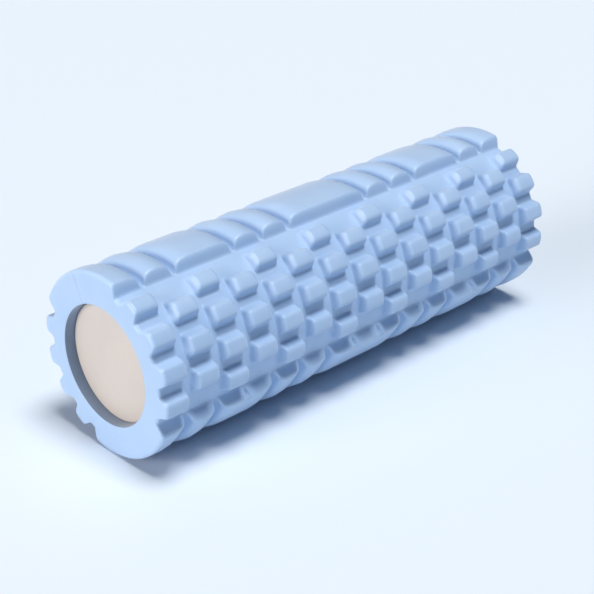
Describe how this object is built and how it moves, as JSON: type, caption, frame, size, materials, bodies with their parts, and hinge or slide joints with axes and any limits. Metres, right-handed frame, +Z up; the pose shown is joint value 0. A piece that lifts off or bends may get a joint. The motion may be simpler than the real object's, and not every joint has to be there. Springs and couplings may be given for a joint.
{
  "type": "foam roller",
  "caption": "Cylindrical massage roller: textured soft foam sleeve with smooth pads and raised square knobs on a hollow rigid core closed by recessed round end caps.",
  "frame": {"origin": "on the plane the roller lies on, midway along its length and directly below its axis", "axes": "+X along the roller's axis towards the right end, +Z up, +Y across the roller"},
  "size_m": [0.3, 0.1036, 0.1046],
  "materials": {
    "foam": "light blue closed-cell foam with a smooth moulded skin and a soft satin sheen",
    "core": "plain extruded plastic",
    "cap": "cream moulded plastic, finely textured and matt"
  },
  "bodies": {
    "root": {"foam_sleeve": "foam", "core_tube": "core", "end_cap_left": "cap", "end_cap_right": "cap"}
  },
  "joints": []
}
